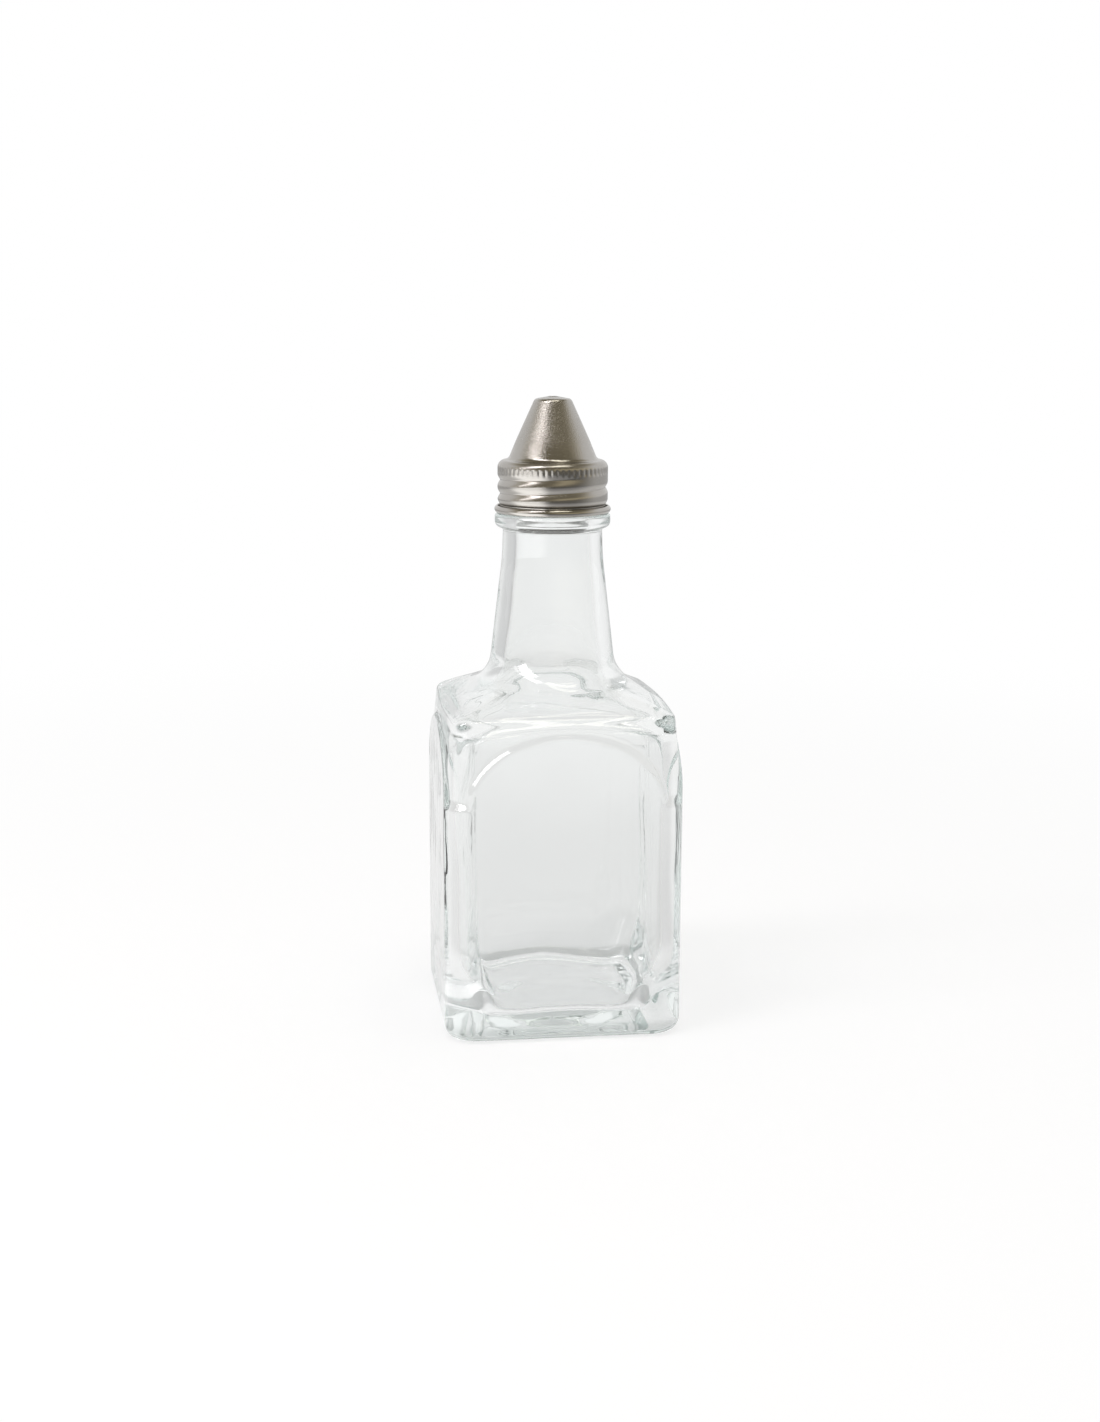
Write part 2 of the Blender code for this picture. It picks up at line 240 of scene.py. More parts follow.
def outline_of(corners):
    """Points along corners (radius, height, rounding, spacing), arcs at the corners and runs between them."""
    bends = []
    for index, (x, z, rounding, _) in enumerate(corners):
        if rounding == 0.0:
            bends.append(None)
            continue
        before = corners[index - 1]
        after = corners[index + 1]
        way_in = math.atan2(z - before[1], x - before[0])
        way_out = math.atan2(after[1] - z, after[0] - x)
        turn = (way_out - way_in + math.pi) % (2 * math.pi) - math.pi
        bends.append((way_in, turn, rounding * math.tan(abs(turn) / 2)))
    points = []
    for index, (x, z, rounding, spacing) in enumerate(corners):
        if bends[index] is None:
            arc = [(x, z)]
        else:
            way_in, turn, trim = bends[index]
            side = math.copysign(1.0, turn)
            centre_x = x - trim * math.cos(way_in) - side * rounding * math.sin(way_in)
            centre_z = z - trim * math.sin(way_in) + side * rounding * math.cos(way_in)
            steps = max(3, math.ceil(abs(turn) * rounding / spacing), math.ceil(abs(turn) / math.radians(15.0)))
            arc = []
            for step in range(steps + 1):
                angle = way_in - side * math.pi / 2 + turn * step / steps
                arc.append((centre_x + rounding * math.cos(angle), centre_z + rounding * math.sin(angle)))
        if points:
            from_x, from_z = points[-1]
            length = math.hypot(arc[0][0] - from_x, arc[0][1] - from_z)
            steps = max(1, math.ceil(length / corners[index - 1][3]))
            for step in range(1, steps):
                part = step / steps
                points.append((from_x + (arc[0][0] - from_x) * part, from_z + (arc[0][1] - from_z) * part))
        points.extend(arc)
    return points


# Glass bottle


def spaced(stops):
    """Shares from 0 to 1 along a run, each stop given as (share, steps from the stop before)."""
    shares = [0.0]
    for end, steps in stops:
        start = shares[-1]
        shares.extend(start + (end - start) * step / steps for step in range(1, steps + 1))
    return shares


FLAT_SHARES = spaced([(0.52, 6), (1.0, 22)])
ARC_SHARES = spaced([(0.28, 6), (0.72, 5), (1.0, 6)])
FLAT_TURN = math.radians(34.8)
ARC_TURN = math.radians(90.0) - 2 * FLAT_TURN


def square_section(half, corner_radius):
    """Points round a rounded square, with the outward direction at each and its place on the circle above."""
    flat = half - corner_radius
    quarter_points = [(half, flat * share, 0.0, FLAT_TURN * share) for share in FLAT_SHARES[:-1]]
    for share in ARC_SHARES:
        angle = math.pi / 2 * share
        x = flat + corner_radius * math.cos(angle)
        y = flat + corner_radius * math.sin(angle)
        quarter_points.append((x, y, angle, FLAT_TURN + ARC_TURN * share))
    for share in FLAT_SHARES[-2:0:-1]:
        quarter_points.append((flat * share, half, math.pi / 2, math.pi / 2 - FLAT_TURN * share))
    section = []
    for quarter in range(4):
        turned = quarter * math.pi / 2
        c, s = math.cos(turned), math.sin(turned)
        for x, y, facing, place in quarter_points:
            section.append((x * c - y * s, x * s + y * c, facing + turned, place + turned))
    return section


def bevel(share, softening):
    """A rise from 0 to 1 at one slope, eased over the given share of the run at each end."""
    share = min(max(share, 0.0), 1.0)
    if share > 0.5:
        return 1.0 - bevel(1.0 - share, softening)
    if share < softening:
        return share * share / (2.0 * softening * (1.0 - softening))
    return (share - softening / 2.0) / (1.0 - softening)


def spandrel_depth(across, height):
    """How far a face falls back outside its arch."""
    above = max(height - ARCH_SPRING_HEIGHT, 0.0) / ARCH_RISE
    reach = math.hypot(across / ARCH_HALF_WIDTH, above) - 1.0
    if above == 0.0 or reach <= 0.0:
        return 0.0
    run = reach * ARCH_RISE
    depth = ARCH_STEP * bevel(run / ARCH_STEP_RUN, ARCH_STEP_SOFTENING) + math.tan(SPANDREL_SLOPE) * run
    return depth * smooth_step(height, ARCH_SPRING_HEIGHT, ARCH_SPRING_HEIGHT + SPANDREL_FOOT_FADE)


def glass_ring(half, corner_radius, roundness, height, spandrels):
    section = square_section(half, min(max(corner_radius, MM), half))
    fade = 1.0 - smooth_step(height, SHOULDER_EDGE_HEIGHT, NECK_FOOT_HEIGHT)
    ring = []
    for x, y, facing, place in section:
        x += (half * math.cos(place) - x) * roundness
        y += (half * math.sin(place) - y) * roundness
        if spandrels:
            out_x, out_y = math.cos(facing), math.sin(facing)
            x -= out_x * abs(out_x) * spandrel_depth(abs(y), height) * fade
            y -= out_y * abs(out_y) * spandrel_depth(abs(x), height) * fade
        ring.append(Vector((x, y, height)))
    return ring


def outside_rings():
    band_inner = BODY_HALF - HEEL_RADIUS - REST_BAND_WIDTH
    hollow_edge = band_inner - BASE_HOLLOW_RUN
    outline = outline_of([
        (2 * MM, BASE_HOLLOW_RISE, 0.0, 3 * MM),
        (hollow_edge, BASE_HOLLOW_RISE * 0.92, 3 * MM, 0.8 * MM),
        (band_inner, 0.0, 1.2 * MM, 1 * MM),
        (BODY_HALF, 0.0, HEEL_RADIUS, 2.5 * MM),
        (BODY_HALF, ARCH_SPRING_HEIGHT - 1 * MM, 0.0, 0.42 * MM),
        (BODY_HALF, SHOULDER_EDGE_HEIGHT, SHOULDER_EDGE_RADIUS, 0.6 * MM),
        (NECK_FOOT_RADIUS, NECK_FOOT_HEIGHT, NECK_FLARE_RADIUS, 1.2 * MM),
        (NECK_WAIST_RADIUS, NECK_WAIST_HEIGHT, NECK_WAIST_ROUNDING, 1.5 * MM),
        (NECK_TOP_RADIUS, NECK_TOP_HEIGHT, 0.8 * MM, 0.3 * MM),
        (COLLAR_RADIUS, NECK_TOP_HEIGHT + 0.8 * MM, 1.4 * MM, 0.3 * MM),
        (COLLAR_RADIUS, COLLAR_TOP, 0.7 * MM, 0.4 * MM),
        (FINISH_RADIUS, COLLAR_TOP, 0.4 * MM, 0.22 * MM),
        (FINISH_RADIUS, LIP_HEIGHT, LIP_ROUNDING, 0.4 * MM),
        (BORE_RADIUS + 1.5 * MM, LIP_HEIGHT, 0.0, 0.4 * MM),
    ])
    rings = []
    for half, height in outline:
        corner = BODY_CORNER_RADIUS - 0.7 * min(BODY_HALF - half, 4 * MM)
        roundness = smooth_step(height, SHOULDER_EDGE_HEIGHT - 1 * MM, NECK_FOOT_HEIGHT + 1 * MM)
        rings.append(glass_ring(half, corner, roundness, height, True))
    return rings


def inside_rings():
    shoulder_top = SHOULDER_EDGE_HEIGHT - SHOULDER_WALL / math.cos(SHOULDER_SLOPE)
    slope = math.tan(SHOULDER_SLOPE)
    neck_inner = NECK_FOOT_RADIUS - NECK_FOOT_WALL
    outline = outline_of([
        (2 * MM, FLOOR_HEIGHT + FLOOR_CROWN, 0.0, 2.5 * MM),
        (CAVITY_HALF * 0.4, FLOOR_HEIGHT + FLOOR_CROWN, 30 * MM, 1.5 * MM),
        (CAVITY_HALF - FOOT_LEAN, FLOOR_HEIGHT, FLOOR_FILLET, 0.8 * MM),
        (CAVITY_HALF, FLOOR_HEIGHT + FOOT_LEAN_HEIGHT, 14 * MM, 3 * MM),
        (CAVITY_HALF, shoulder_top + slope * WALL, CAVITY_SHOULDER_FILLET, 1.2 * MM),
        (neck_inner, shoulder_top + slope * (BODY_HALF - neck_inner), NECK_FLARE_RADIUS, 1.5 * MM),
        (BORE_RADIUS, NECK_WAIST_HEIGHT, NECK_WAIST_ROUNDING, 2.5 * MM),
        (BORE_RADIUS, LIP_HEIGHT, MOUTH_ROUNDING, 0.4 * MM),
        (BORE_RADIUS + 1.5 * MM, LIP_HEIGHT, 0.0, 0.4 * MM),
    ])
    rings = []
    for half, height in outline[:-1]:
        upright = smooth_step(height, FLOOR_HEIGHT + 1 * MM, FLOOR_HEIGHT + 16 * MM)
        corner = FOOT_CORNER_RADIUS + (CAVITY_CORNER_RADIUS - FOOT_CORNER_RADIUS) * upright
        if height > SHOULDER_EDGE_HEIGHT - 20 * MM:
            corner -= 0.4 * min(CAVITY_HALF - half, 6 * MM)
        roundness = smooth_step(height, SHOULDER_EDGE_HEIGHT - 6 * MM, NECK_FOOT_HEIGHT)
        ring = glass_ring(half, corner, roundness, height, False)
        for point in ring:
            point.z -= floor_drop(point)
        rings.append(ring)
    return rings


def floor_drop(point):
    """How far the cavity's floor dips at a point towards its four corners."""
    x, y = abs(point.x), abs(point.y)
    towards_corner = (min(x, y) / max(x, y)) ** 2
    outward = smooth_step(math.hypot(x, y), 6 * MM, 26 * MM)
    low = 1.0 - smooth_step(point.z, FLOOR_HEIGHT + 2 * MM, FLOOR_HEIGHT + 14 * MM)
    return FLOOR_CORNER_DROP * towards_corner * outward * low


def uneven(point):
    """A small shift of a point of the mould-blown inside."""
    seat = point / UNEVEN_SIZE
    aside_x = noise.noise(seat)
    aside_y = noise.noise(seat + Vector((7, 3, 1)))
    upward = noise.noise(seat + Vector((2, 9, 5)))
    return Vector((aside_x, aside_y, 0.5 * upward)) * UNEVEN_DEPTH


def bottle_mesh():
    """The skin from the middle of the base up to the lip, over it and down the inside to the middle of the floor."""
    outside = outside_rings()
    inside = inside_rings()
    for ring in inside:
        for point in ring:
            fade = smooth_step(LIP_HEIGHT - point.z, 8 * MM, 25 * MM)
            point += uneven(point) * fade
    rings = outside + list(reversed(inside))
    count = len(rings[0])
    shape = bmesh.new()
    finish = shape.verts.layers.float.new("finish")
    rows = [[shape.verts.new(point) for point in ring] for ring in rings]
    for row in rows[:len(outside)]:
        for vertex in row:
            radius = math.hypot(vertex.co.x, vertex.co.y)
            if vertex.co.z > COLLAR_TOP + 0.1 * MM and radius > FINISH_RADIUS - 0.3 * MM:
                vertex[finish] = 1.0
    for low, high in zip(rows, rows[1:]):
        for index in range(count):
            after = (index + 1) % count
            shape.faces.new((low[index], low[after], high[after], high[index]))
    base = shape.verts.new((0, 0, rings[0][0].z))
    floor = shape.verts.new((0, 0, rings[-1][0].z))
    for index in range(count):
        after = (index + 1) % count
        shape.faces.new((base, rows[0][after], rows[0][index]))
        shape.faces.new((floor, rows[-1][index], rows[-1][after]))
    bmesh.ops.recalc_face_normals(shape, faces=shape.faces)
    mesh = bpy.data.meshes.new("moulded_bottle")
    shape.to_mesh(mesh)
    shape.free()
    return mesh


# Node trees for the thread and the cap


def named_input(tree, name, kind, value=None):
    socket = tree.interface.new_socket(name=name, in_out="INPUT", socket_type=kind)
    if value is not None:
        socket.default_value = value


class Bench:
    """Makes and joins the nodes of one tree."""

    def __init__(self, tree):
        self.tree = tree

    def node(self, kind, inputs=(), **settings):
        made = self.tree.nodes.new(kind)
        for name, value in settings.items():
            setattr(made, name, value)
        for key, value in dict(inputs).items():
            self.feed(made.inputs[key], value)
        return made

    def feed(self, socket, value):
        if isinstance(value, bpy.types.NodeSocket):
            self.tree.links.new(value, socket)
        else:
            socket.default_value = value

    def maths(self, operation, *values, clamp=False):
        made = self.tree.nodes.new("ShaderNodeMath")
        made.operation = operation
        made.use_clamp = clamp
        for socket, value in zip(made.inputs, values):
            self.feed(socket, value)
        return made.outputs[0]

    def times(self, first, second):
        return self.maths("MULTIPLY", first, second)

    def plus(self, first, second):
        return self.maths("ADD", first, second)

    def minus(self, first, second, clamp=False):
        return self.maths("SUBTRACT", first, second, clamp=clamp)

    def over(self, first, second):
        return self.maths("DIVIDE", first, second)

    def towards(self, way, direction):
        """How far a way points in a fixed direction: 1 along it, 0 across it, -1 against it."""
        made = self.node("ShaderNodeVectorMath", operation="DOT_PRODUCT", inputs={0: way, 1: direction})
        return made.outputs["Value"]

    def noise(self, seat, scale, detail):
        made = self.node("ShaderNodeTexNoise", inputs={"Vector": seat, "Scale": scale, "Detail": detail})
        return made.outputs["Fac"]

    def ease(self, value, low, high, to_low=0.0, to_high=1.0):
        """A soft change from to_low to to_high while the value goes from low to high."""
        made = self.node("ShaderNodeMapRange", interpolation_type="SMOOTHSTEP")
        ends = (("From Min", low), ("From Max", high), ("To Min", to_low), ("To Max", to_high))
        for key, given in (("Value", value),) + ends:
            self.feed(made.inputs[key], given)
        return made.outputs["Result"]

    def join(self, x, y, z):
        made = self.tree.nodes.new("ShaderNodeCombineXYZ")
        for socket, value in zip(made.inputs, (x, y, z)):
            self.feed(socket, value)
        return made.outputs[0]

    def split(self, vector):
        made = self.tree.nodes.new("ShaderNodeSeparateXYZ")
        self.feed(made.inputs[0], vector)
        return made.outputs


def helix_tree():
    """A group that says how strongly a thread shows at a turn of the compass and a height, from 0 to 1."""
    tree = bpy.data.node_groups.new("thread_run", "GeometryNodeTree")
    for name, value in (("Turn", 0.0), ("Height", 0.0), ("Pitch", PITCH), ("Height At Turn Zero", 0.0),
                        ("First Turn", 0.0), ("Last Turn", 1.0), ("Fade Turns", 0.15),
                        ("Half Width", MM), ("Sharpness", 0.0)):
        named_input(tree, name, "NodeSocketFloat", value)
    tree.interface.new_socket(name="Strength", in_out="OUTPUT", socket_type="NodeSocketFloat")
    bench = Bench(tree)
    given = tree.nodes.new("NodeGroupInput").outputs
    rows = bench.over(bench.minus(given["Height"], given["Height At Turn Zero"]), given["Pitch"])
    lap = bench.maths("ROUND", bench.minus(rows, given["Turn"]))
    along = bench.plus(given["Turn"], lap)
    off = bench.times(bench.minus(rows, along), given["Pitch"])
    near = bench.over(bench.maths("ABSOLUTE", off), given["Half Width"])
    soft = bench.ease(near, 0.0, 1.0, 1.0, 0.0)
    blunted = bench.maths("SQRT", bench.plus(bench.times(near, near), 0.02))
    quarter_wave = bench.times(bench.maths("MINIMUM", blunted, 1.0), math.pi / 2)
    sharp = bench.minus(1.0, bench.maths("SINE", quarter_wave))
    across = bench.plus(soft, bench.times(given["Sharpness"], bench.minus(sharp, soft)))
    start = bench.ease(along, given["First Turn"], bench.plus(given["First Turn"], given["Fade Turns"]))
    end = bench.ease(along, bench.minus(given["Last Turn"], given["Fade Turns"]), given["Last Turn"], 1.0, 0.0)
    strength = bench.times(bench.times(start, end), across)
    tree.links.new(strength, tree.nodes.new("NodeGroupOutput").inputs["Strength"])
    return tree


def glass_thread_tree(helix):
    """Raises the thread's ridge on the points marked as finish."""
    tree = bpy.data.node_groups.new("glass_thread", "GeometryNodeTree")
    named_input(tree, "Geometry", "NodeSocketGeometry")
    for name, value in (("Pitch", PITCH), ("Height At Turn Zero", RIDGE_HEIGHT), ("First Turn", RIDGE_FIRST_TURN),
                        ("Last Turn", RIDGE_LAST_TURN), ("Fade Turns", RIDGE_FADE_TURNS),
                        ("Half Width", RIDGE_HALF_WIDTH), ("Ridge Depth", RIDGE_DEPTH)):
        named_input(tree, name, "NodeSocketFloat", value)
    named_input(tree, "Material", "NodeSocketMaterial")
    tree.interface.new_socket(name="Geometry", in_out="OUTPUT", socket_type="NodeSocketGeometry")
    bench = Bench(tree)
    given = tree.nodes.new("NodeGroupInput").outputs
    place = bench.node("GeometryNodeInputPosition").outputs[0]
    x, y, z = bench.split(place)
    turn = bench.over(bench.maths("ARCTAN2", y, x), 2 * math.pi)
    run = bench.node("GeometryNodeGroup", node_tree=helix, inputs={"Turn": turn, "Height": z})
    for key in ("Pitch", "Height At Turn Zero", "First Turn", "Last Turn", "Fade Turns", "Half Width"):
        bench.feed(run.inputs[key], given[key])
    mark = bench.node("GeometryNodeInputNamedAttribute", data_type="FLOAT", inputs={"Name": "finish"})
    reach = bench.times(bench.times(run.outputs[0], given["Ridge Depth"]), mark.outputs["Attribute"])
    outward = bench.node("ShaderNodeVectorMath", operation="NORMALIZE", inputs={0: bench.join(x, y, 0.0)}).outputs[0]
    offset = bench.node("ShaderNodeVectorMath", operation="SCALE", inputs={0: outward, "Scale": reach}).outputs[0]
    raised = bench.node("GeometryNodeSetPosition", inputs={"Geometry": given["Geometry"], "Offset": offset}).outputs[0]
    smooth = bench.node("GeometryNodeSetShadeSmooth", inputs={"Geometry": raised}).outputs[0]
    real = bench.node("GeometryNodeRealizeInstances", inputs={"Geometry": smooth}).outputs[0]
    done = bench.node("GeometryNodeSetMaterial", inputs={"Geometry": real, "Material": given["Material"]}).outputs[0]
    tree.links.new(done, tree.nodes.new("NodeGroupOutput").inputs[0])
    return tree


def pressed_cap_tree(helix):
    """Turns the sheet's outline round the axis, presses in the thread and knurls the band above it."""
    tree = bpy.data.node_groups.new("pressed_cap", "GeometryNodeTree")
    named_input(tree, "Geometry", "NodeSocketGeometry")
    named_input(tree, "Points Round", "NodeSocketInt", FLUTES * POINTS_PER_FLUTE)
    named_input(tree, "Flutes", "NodeSocketInt", FLUTES)
    for name, value in (("Flute Depth", FLUTE_DEPTH), ("Flutes From", FLUTES_FROM), ("Flutes To", FLUTES_TO),
                        ("Pitch", PITCH), ("Height At Turn Zero", GROOVE_HEIGHT),
                        ("First Turn", GROOVE_FIRST_TURN), ("Last Turn", GROOVE_LAST_TURN),
                        ("Fade Turns", GROOVE_FADE_TURNS), ("Half Width", GROOVE_HALF_WIDTH),
                        ("Sharpness", GROOVE_SHARPNESS), ("Groove Depth", GROOVE_DEPTH)):
        named_input(tree, name, "NodeSocketFloat", value)
    named_input(tree, "Material", "NodeSocketMaterial")
    tree.interface.new_socket(name="Geometry", in_out="OUTPUT", socket_type="NodeSocketGeometry")
    bench = Bench(tree)
    given = tree.nodes.new("NodeGroupInput").outputs
    outline = bench.node("GeometryNodeAttributeDomainSize", component="MESH", inputs={"Geometry": given["Geometry"]})
    rows = outline.outputs["Point Count"]
    last_row = bench.minus(rows, 1.0)
    columns = bench.plus(given["Points Round"], 1.0)
    sheet = bench.node("GeometryNodeMeshGrid", inputs={
        "Size X": given["Points Round"], "Size Y": last_row, "Vertices X": columns, "Vertices Y": rows})
    place = bench.node("GeometryNodeInputPosition").outputs[0]
    x, y, _ = bench.split(place)
    column = bench.plus(x, bench.over(given["Points Round"], 2.0))
    row = bench.maths("ROUND", bench.plus(y, bench.over(last_row, 2.0)))
    turn = bench.over(column, given["Points Round"])
    taken = bench.node("GeometryNodeSampleIndex", data_type="FLOAT_VECTOR", domain="POINT", inputs={
        "Geometry": given["Geometry"], "Value": place, "Index": row})
    radius, _, height = bench.split(taken.outputs["Value"])

    run = bench.node("GeometryNodeGroup", node_tree=helix, inputs={"Turn": turn, "Height": height})
    for key in ("Pitch", "Height At Turn Zero", "First Turn", "Last Turn", "Fade Turns", "Half Width", "Sharpness"):
        bench.feed(run.inputs[key], given[key])
    on_skirt = bench.ease(height, CURL_CENTRE_HEIGHT + 0.5 * MM, CURL_CENTRE_HEIGHT + 1.7 * MM)
    groove = bench.times(bench.times(run.outputs[0], given["Groove Depth"]), on_skirt)

    wave = bench.maths("SINE", bench.times(bench.times(turn, given["Flutes"]), math.pi))
    lobe = bench.minus(1.0, bench.maths("ABSOLUTE", wave))
    band_low = bench.ease(height, given["Flutes From"], bench.plus(given["Flutes From"], 0.9 * MM))
    band_high = bench.ease(height, bench.minus(given["Flutes To"], 0.3 * MM), given["Flutes To"], 1.0, 0.0)
    band = bench.times(band_low, band_high)
    flute = bench.times(bench.times(lobe, band), given["Flute Depth"])

    final = bench.minus(bench.minus(radius, groove), flute)
    angle = bench.times(turn, 2 * math.pi)
    wrapped = bench.join(bench.times(final, bench.maths("COSINE", angle)),
                         bench.times(final, bench.maths("SINE", angle)), height)
    formed = bench.node("GeometryNodeSetPosition", inputs={
        "Geometry": sheet.outputs["Mesh"], "Position": wrapped}).outputs[0]
    closed = bench.node("GeometryNodeMergeByDistance", inputs={"Geometry": formed, "Distance": WELD_REACH}).outputs[0]
    smooth = bench.node("GeometryNodeSetShadeSmooth", inputs={"Geometry": closed}).outputs[0]
    real = bench.node("GeometryNodeRealizeInstances", inputs={"Geometry": smooth}).outputs[0]
    done = bench.node("GeometryNodeSetMaterial", inputs={"Geometry": real, "Material": given["Material"]}).outputs[0]
    tree.links.new(done, tree.nodes.new("NodeGroupOutput").inputs[0])
    return tree


def add_tree(item, tree, material):
    modifier = item.modifiers.new(tree.name, "NODES")
    modifier.node_group = tree
    sockets = {s.name: s.identifier for s in tree.interface.items_tree if s.in_out == "INPUT"}
    modifier[sockets["Material"]] = material


def plain_mesh(item):
    """Swaps an object's live modifiers for the mesh that they make."""
    graph = bpy.context.evaluated_depsgraph_get()
    mesh = bpy.data.meshes.new_from_object(item.evaluated_get(graph))
    old = item.data
    item.modifiers.clear()
    item.data = mesh
    bpy.data.meshes.remove(old)


def outward_faces(mesh):
    shape = bmesh.new()
    shape.from_mesh(mesh)
    bmesh.ops.recalc_face_normals(shape, faces=shape.faces)
    shape.to_mesh(mesh)
    shape.free()


def new_object(name, mesh):
    made = bpy.data.objects.new(name, mesh)
    bpy.context.scene.collection.objects.link(made)
    return made


# Materials


def new_material(name):
    made = bpy.data.materials.new(name)
    made.use_nodes = True
    made.node_tree.nodes.clear()
    return made, Bench(made.node_tree)


def moulded_glass():
    """Clear soda-lime glass with the soft ripple that a mould leaves, faintly green in depth, with painted shade
    darkening it round the bottom edge.
    """
    made, bench = new_material("moulded_clear_glass")
    seat = bench.node("ShaderNodeTexCoord").outputs["Object"]
    ripple = bench.noise(seat, RIPPLE_SCALE, 1.5)
    bump = bench.node("ShaderNodeBump", inputs={"Height": ripple, "Strength": 0.25, "Distance": RIPPLE_HEIGHT})
    x, y, height = bench.split(seat)
    reach = bench.maths("MAXIMUM", bench.maths("ABSOLUTE", x), bench.maths("ABSOLUTE", y))
    # Painted shade: the glass darkens round the bottom edge, low by the table.
    painted_bottom_shade = bench.times(bench.ease(reach, *BOTTOM_SHADE_FROM_THE_AXIS), bench.ease(height, *BOTTOM_SHADE_END, 1.0, 0.0))
    collar = bench.times(bench.ease(height, *COLLAR_START), bench.ease(height, *COLLAR_END, 1.0, 0.0))
    body = bench.node("ShaderNodeMixRGB", inputs={
        "Fac": painted_bottom_shade, "Color1": GLASS, "Color2": GLASS_UNDER_PAINTED_BOTTOM_SHADE})
    whole = bench.node("ShaderNodeMixRGB", inputs={
        "Fac": bench.ease(height, *CLEAR_FINISH_START), "Color1": body.outputs["Color"],
        "Color2": GLASS_OF_THE_FINISH})
    shader = bench.node("ShaderNodeBsdfPrincipled", inputs={
        "Base Color": whole.outputs["Color"], "Roughness": bench.times(collar, COLLAR_ROUGHNESS),
        "IOR": GLASS_BENDING, "Transmission Weight": 1.0, "Normal": bump.outputs["Normal"]})
    depth = bench.node("ShaderNodeVolumeAbsorption", inputs={"Color": GLASS_IN_DEPTH, "Density": GLASS_DENSITY})
    bench.node("ShaderNodeOutputMaterial", inputs={"Surface": shader.outputs[0], "Volume": depth.outputs[0]})
    return made


def satin_steel():
    """Pressed steel: a fine speckled satin on the cone, worn brighter at its foot, its tip and the curl."""
    made, bench = new_material("satin_pressed_steel")
    seat = bench.node("ShaderNodeTexCoord").outputs["Object"]
    height = bench.split(seat)[2]
    on_cone = bench.ease(height, *CONE_START)
    speckle = bench.noise(seat, SPECKLE_SCALE, 1.5)
    cloud = bench.noise(seat, CLOUD_SCALE, 3.0)
    foot = bench.times(bench.ease(height, *WORN_FOOT_START), bench.ease(height, *WORN_FOOT_END, 1.0, 0.0))
    tip = bench.ease(height, *WORN_TIP_START)
    curl = bench.ease(height, *WORN_CURL_END, 1.0, 0.0)
    worn = bench.maths("MAXIMUM", bench.maths("MAXIMUM", foot, tip), curl)
    unworn = bench.ease(height, *SKIRT_TO_CONE, SKIRT_ROUGHNESS, CONE_ROUGHNESS)
    base = bench.minus(unworn, bench.times(worn, WORN_LOSS))
    fine = bench.times(speckle, bench.plus(0.04, bench.times(on_cone, 0.04)))
    rough = bench.plus(bench.plus(base, fine), bench.times(cloud, 0.04))
    grain = bench.times(speckle, bench.plus(0.04, bench.times(on_cone, 0.42)))
    bump = bench.node("ShaderNodeBump", inputs={"Height": grain, "Strength": 0.9, "Distance": GRAIN_HEIGHT})
    shader = bench.node("ShaderNodeBsdfPrincipled", inputs={
        "Base Color": STEEL, "Metallic": 1.0, "Roughness": rough, "Normal": bump.outputs["Normal"]})
    bench.node("ShaderNodeOutputMaterial", inputs={"Surface": shader.outputs[0]})
    return made


def seal_rubber():
    """Soft white seal with a faintly mottled skin."""
    made, bench = new_material("white_seal_rubber")
    seat = bench.node("ShaderNodeTexCoord").outputs["Object"]
    mottle = bench.noise(seat, MOTTLE_SCALE, 3.0)
    tone = bench.node("ShaderNodeValToRGB", inputs={"Fac": mottle})
    tone.color_ramp.elements[0].color = SEAL_DARKER
    tone.color_ramp.elements[1].color = SEAL_LIGHTER
    bump = bench.node("ShaderNodeBump", inputs={"Height": mottle, "Strength": 0.3, "Distance": MOTTLE_HEIGHT})
    shader = bench.node("ShaderNodeBsdfPrincipled", inputs={
        "Base Color": tone.outputs["Color"], "Roughness": SEAL_ROUGHNESS, "Normal": bump.outputs["Normal"]})
    bench.node("ShaderNodeOutputMaterial", inputs={"Surface": shader.outputs[0]})
    return made


# Pieces


def make_bottle(helix):
    bottle = new_object("moulded_bottle", bottle_mesh())
    glass = moulded_glass()
    add_tree(bottle, glass_thread_tree(helix), glass)
    plain_mesh(bottle)
    if "finish" in bottle.data.attributes:
        bottle.data.attributes.remove(bottle.data.attributes["finish"])
    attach(bottle, "bottle")
    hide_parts("glass_bottle")
    return bottle


def cap_outline():
    points = outline_of([
        (POUR_HOLE_RADIUS, CAP_TOP, 0.0, 0.8 * MM),
        (SPOUT_TIP_RADIUS, CAP_TOP - SPOUT_TIP_DOME, SPOUT_TIP_ROUNDING, 1.2 * MM),
        (SPOUT_MIDDLE_RADIUS, LEDGE_HEIGHT + SPOUT_MIDDLE_RISE, 30 * MM, 1.2 * MM),
        (SPOUT_FOOT_RADIUS, LEDGE_HEIGHT, SPOUT_FOOT_FILLET, 0.5 * MM),
        (SKIRT_RADIUS, LEDGE_HEIGHT - LEDGE_DROP, LEDGE_ROUNDING, 0.25 * MM),
        (SKIRT_RADIUS, FLUTES_FROM - 0.3 * MM, 0.0, 0.22 * MM),
        (SKIRT_RADIUS, SKIRT_FOOT_HEIGHT + 1.1 * MM, 1 * MM, 0.3 * MM),
        (SKIRT_FOOT_RADIUS, SKIRT_FOOT_HEIGHT, 0.5 * MM, 0.3 * MM),
        (SKIRT_FOOT_RADIUS, CURL_CENTRE_HEIGHT, 0.0, 0.3 * MM),
    ])
    for step in range(1, CURL_STEPS + 1):
        angle = math.pi + CURL_TURN * step / CURL_STEPS
        out = SKIRT_FOOT_RADIUS + CURL_RADIUS + CURL_RADIUS * math.cos(angle)
        points.append((out, CURL_CENTRE_HEIGHT + CURL_HALF_HEIGHT * math.sin(angle)))
    return points


